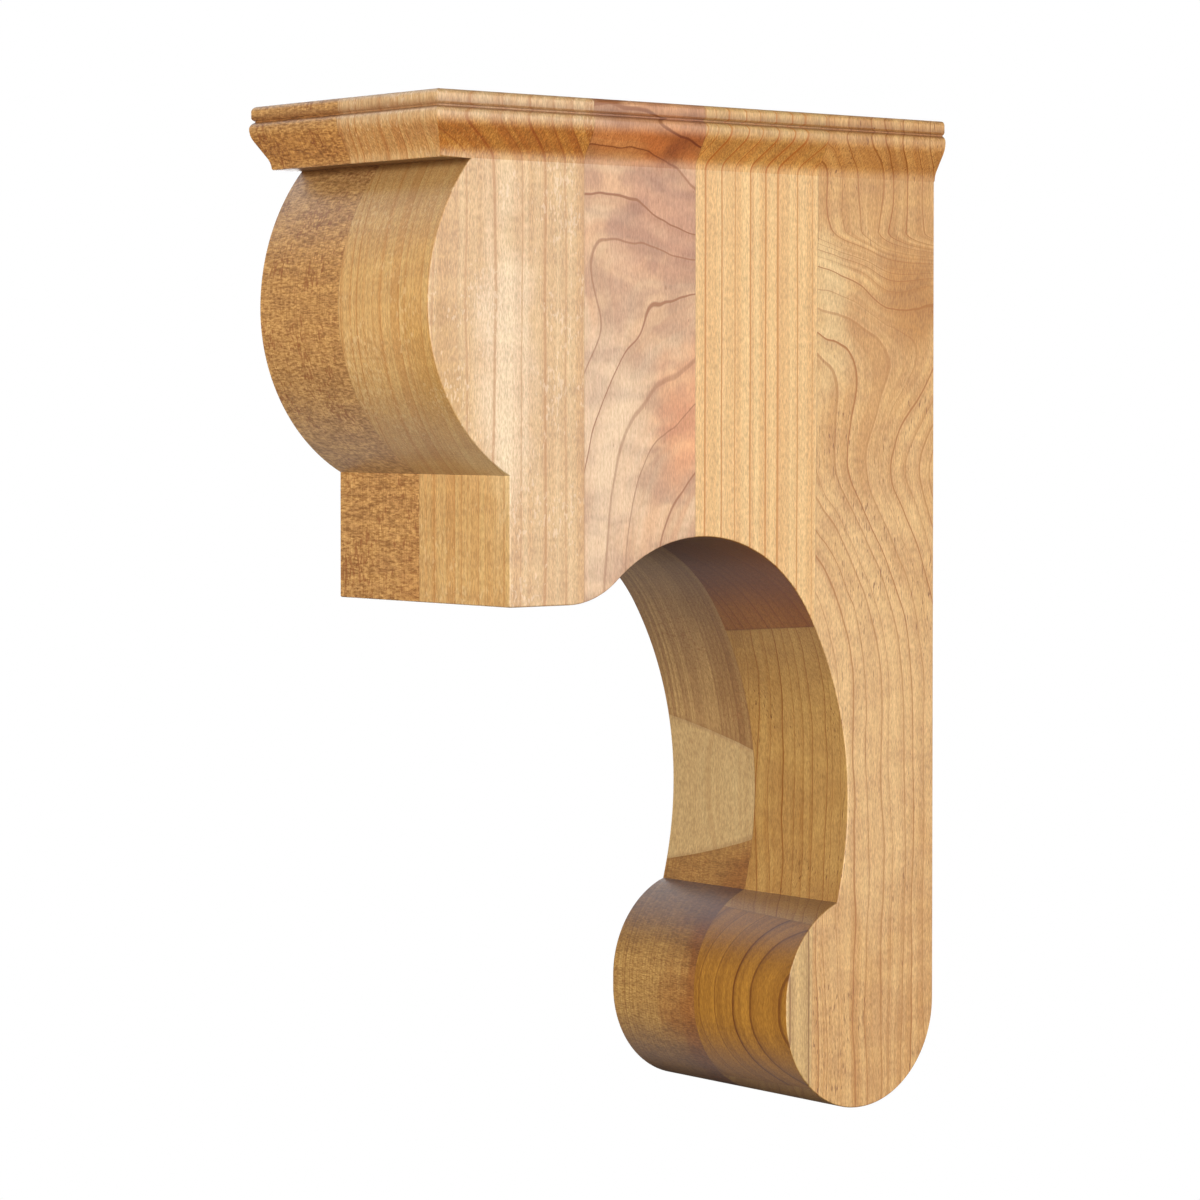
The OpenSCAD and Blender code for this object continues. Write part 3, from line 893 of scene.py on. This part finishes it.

# The cut and ends tints of each board are partly the colour of its sawn and end-grain faces and partly
# painted shade.
BOARDS = {
    "right_front_stave": dict(
        base=(.600, .392, .198), line=(.44, .18, .05), pith=(-136, -265), width=4.0, strength=.75, tone=.4,
        uneven=1.0, ripple=.25, fleck=[FINE_FLECK, ((.9, .9, 2.2), .6, 18, PALE, .4)],
        stains=[((44, -186, 80), (16, 13, 60), (.80, .62, .42), .5),
                ((48, -212, 55), (20, 16, 60), (.46, .25, .07), .6)],
        hollow=.95, cut=(.98, .90, .68), ends=(.68, .65, .60), joints=[R3, LAYER]),
    "right_second_stave": dict(
        base=(.500, .305, .176), line=(.29, .10, .03), pith=(20, -100), width=9.5, lean=(.55, 35, 400),
        drift=(-50, 90, 135), strength=1, tint=(.46, .215, .11), tone=.6, uneven=.8, wobble=2.4,
        wobble_size=30, softness=.05, ripple=.7, ripple_size=(22, 10),
        fibres=((.45, 1.8, .3), (1.2, 12, .14)), fleck=[((.6, .6, 3.5), .15, 30, RUST, .7)],
        stains=[((44, -112, 128), (60, 34, 22), (.355, .165, .10), .85),
                ((44, -106, 66), (60, 20, 26), (.58, .23, .10), .8),
                ((44, -145, 60), (60, 20, 50), (.58, .40, .26), .6),
                ((44, -112, 160), (60, 60, 16), (.42, .18, .08), .8)],
        hollow=.65, joints=[R2, R3]),
    "right_third_stave": dict(
        base=(.715, .465, .200), line=(.50, .175, .020), pith=(-138, 40), width=3.6, strength=.95, tone=.32,
        uneven=.9, wobble=.3, wobble_size=60, softness=.11,
        stains=[((44, -80, 158), (60, 45, 13), (.47, .285, .11), .6),
                ((10, -60, -2), (30, 16, 14), (.98, .70, .34), .6),
                # painted shade: a dark cloud on the inside of the arch
                ((0, -88, 14), (36, 18, 12), (.36, .20, .09), .5)],
        # cut and ends: the end grain's own colour, darkened further by painted shade inside the arch
        hollow=.55, cut=(.46, .285, .13), ends=(.46, .29, .115), joints=[R1, R2]),
    "right_back_stave": dict(
        base=(.580, .334, .130), line=(.36, .13, .022), pith=(-60, -120), width=3.7, lean=(.48, -5, 128),
        drift=(85, 40, 118), drift_top=128, strength=1, tone=.45, wobble=1.3, wobble_size=24, softness=.10,
        knot=((44, -20, 112), 15.0, 7.0), ripple=.3, ripple_size=(16, 9),
        fleck=[FINE_FLECK, ((.55, .55, 3.8), .42, 28, BARK, .8)],
        stains=[((44, -12, 108), (60, 16, 22), (.38, .16, .035), .8),
                ((44, -48, 100), (60, 9, 30), (.70, .50, .24), .6),
                ((44, -30, 142), (60, 50, 14), (.47, .24, .08), .6),
                ((44, -30, -30), (60, 60, 90), (.64, .40, .180), .6)],
        cut=(.75, .67, .45), ends=(.62, .57, .50), joints=[R1, LAYER]),
    "right_scroll_nose": dict(
        base=(.620, .400, .160), line=(.19, .065, .014), pith=(62, -110), width=7, strength=.95, tone=.35,
        # cut and ends: the nose's front and ends in darker amber, partly its own colour and partly painted
        # shade
        uneven=.6, wobble=.8, softness=.10, cut=(.68, .46, .14), ends=(.57, .50, .32), joints=[R1, LAYER]),
    "left_front_stave": dict(
        base=(.455, .235, .080), line=(.26, .10, .03), pith=(-300, -190), width=2.4, strength=.25,
        ripple=.45, ripple_size=(12, 2.5), fibres=((2.2, .6, .8), (.8, 3.2, .2)),
        fleck=[((2.6, 2.6, .8), .7, 60, RUST, .3), ((.95, .95, 2.8), .75, 12, RUST, .6)],
        stains=[((2, -190, -10), (15, 60, 40), (.36, .145, .04), .5)],
        # ends: the top and underside of the scroll darker and cooler, partly painted shade
        hollow=.5, cut=(.98, .96, .92), ends=(.80, .84, .92), joints=[L3, LAYER]),
    "left_second_stave": dict(
        base=(.60, .37, .15), line=(.38, .16, .05), pith=(-150, -60), width=4.2, joints=[L2, L3]),
    "left_third_stave": dict(
        base=(.52, .32, .125), line=(.24, .10, .04), pith=(-120, -60), width=3.4, strength=.6, tone=.6,
        uneven=2, fleck=[((2.2, 2.2, .7), .6, 25, RUST, .4)],
        stains=[((-4, -70, -20), (15, 200, 200), (.27, .13, .045), .6)],
        cut=(.98, .96, .92), ends=(.74, .68, .62), joints=[L1, L2]),
    "left_back_stave": dict(
        base=(.62, .41, .18), line=(.45, .23, .08), pith=(-60, -160), width=6, strength=.35,
        cut=(.88, .88, .88), joints=[L1, LAYER]),
    "left_scroll_nose": dict(
        base=(.56, .345, .128), line=(.27, .11, .035), pith=(-260, -100), width=2.6, strength=.4, tone=.4,
        ripple=.45, ripple_size=(12, 2.5), fibres=((1.6, .42, .6), (.6, 2.4, .2)),
        fleck=[((1.4, 1.4, .5), .6, 40, RUST, .5)],
        stains=[((1, -80, -130), (19, 120, 90), (.30, .11, .030), .85),
                ((-10, -45, -92), (60, 18, 16), (.28, .13, .045), .55)],
        cut=(.80, .71, .56), ends=(.36, .26, .14), joints=[L1, LAYER]),
}
SEED_STEP = 7.3

for place, (node, values) in enumerate(BOARDS.items()):
    piece = pieces[node]
    piece.data.materials.clear()
    piece.data.materials.append(maple("maple_" + node, seed=SEED_STEP * place, **values))
    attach(piece, "root")
    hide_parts(node)
print("boards:", len(BOARDS))

# %% [markdown]
# ## The studio
#
# The corbel hangs against a clean white background in even light. One big light would leave the far sides
# black, so a softbox stands before each of the four sides. The one at the right is a little behind the
# corbel, where it lights the wood without a mirror image that would hide the ring lines. Two weak ones
# at the left shine from above and below into the curves: the upper one is cool like a window, and the
# lower one is warm like a floor. A grey fill keeps the hollow under the arm readable. Only the camera
# sees the background as white.

# %% Lights
def softbox(name, toward, distance, size, power, color):
    """A square light that looks at the corbel from a direction."""
    data = bpy.data.lights.new(name, "AREA")
    data.energy = power
    data.size = size
    data.color = color
    lamp = bpy.data.objects.new(name, data)
    lamp.location = Vector(toward).normalized() * distance
    lamp.rotation_euler = (-lamp.location).to_track_quat("-Z", "Y").to_euler()
    bpy.context.collection.objects.link(lamp)


WHITE, COOL, WARM = (1.0, 1.0, 1.0), (0.78, 0.89, 1.0), (1.0, 0.95, 0.88)
SOFTBOXES = {  # where it stands, its distance and size in metres, its power in watts, its colour
    "side_softbox": ((0.96, 0.22, 0.10), 1.5, 1.2, 21, WHITE),
    "front_softbox": ((0.35, -0.94, 0.02), 1.6, 0.9, 26, WHITE),
    "left_softbox": ((-0.95, 0.30, 0.10), 1.5, 1.2, 17, WHITE),
    "back_softbox": ((-0.25, 1.0, 0.25), 1.6, 1.2, 15, WHITE),
    "left_overhead": ((-0.73, -0.16, 0.67), 1.6, 1.2, 6, COOL),
    "left_underneath": ((-0.73, -0.10, -0.67), 1.6, 1.0, 2, WARM),
}
for name, values in SOFTBOXES.items():
    softbox(name, *values)
print("softboxes:", len(SOFTBOXES))

# %% Background and fill
FILL = 0.09
FILL_BELOW = 0.06

world = bpy.data.worlds.new("studio")
bpy.context.scene.world = world
world.use_nodes = True
tree = world.node_tree
tree.nodes.clear()
backdrop = add(tree, "ShaderNodeBackground", {"Color": (1, 1, 1, 1), "Strength": 1.0})
look = add(tree, "ShaderNodeSeparateXYZ", {0: add(tree, "ShaderNodeTexCoord").outputs["Generated"]})
level = add(tree, "ShaderNodeMapRange", {"Value": look.outputs[2], "From Min": -0.5, "From Max": 0.3,
                                         "To Min": FILL_BELOW, "To Max": FILL})
grey = add(tree, "ShaderNodeBackground", {"Color": (1, 1, 1, 1), "Strength": level.outputs[0]})
eye = add(tree, "ShaderNodeLightPath")
sky = add(tree, "ShaderNodeMixShader", {0: eye.outputs["Is Camera Ray"], 1: grey.outputs[0],
                                        2: backdrop.outputs[0]})
add(tree, "ShaderNodeOutputWorld", {"Surface": sky.outputs[0]})
print("fill:", FILL, "from above and", FILL_BELOW, "from below")

# %% [markdown]
# A corbel is up on a wall, so the floor lies well below it, out of the camera's view. The lights are too
# near the corbel to reach it evenly, so it glows a little by itself, and it throws no light on the wood.

# %% The floor
FLOOR_DROP = 0.9
FLOOR_SIZE = 2.0
FLOOR_GLOW = 0.7
floor_mesh = bpy.data.meshes.new("studio_floor")
floor_z = cad_low.z - FLOOR_DROP
corners = [(-FLOOR_SIZE, -FLOOR_SIZE, floor_z), (FLOOR_SIZE, -FLOOR_SIZE, floor_z),
           (FLOOR_SIZE, FLOOR_SIZE, floor_z), (-FLOOR_SIZE, FLOOR_SIZE, floor_z)]
floor_mesh.from_pydata(corners, [], [(0, 1, 2, 3)])
floor = bpy.data.objects.new("studio_floor", floor_mesh)
bpy.context.collection.objects.link(floor)
pale = bpy.data.materials.new("pale_floor")
pale.use_nodes = True
paint = pale.node_tree.nodes["Principled BSDF"].inputs
paint["Base Color"].default_value = (0.85, 0.85, 0.85, 1)
paint["Roughness"].default_value = 0.9
paint["Emission Color"].default_value = (1, 1, 1, 1)
paint["Emission Strength"].default_value = FLOOR_GLOW
floor_mesh.materials.append(pale)
floor.visible_diffuse = False
floor.visible_glossy = False
bpy.context.scene.view_settings.view_transform = "Standard"
print("floor: %.2f m below the corbel" % FLOOR_DROP)
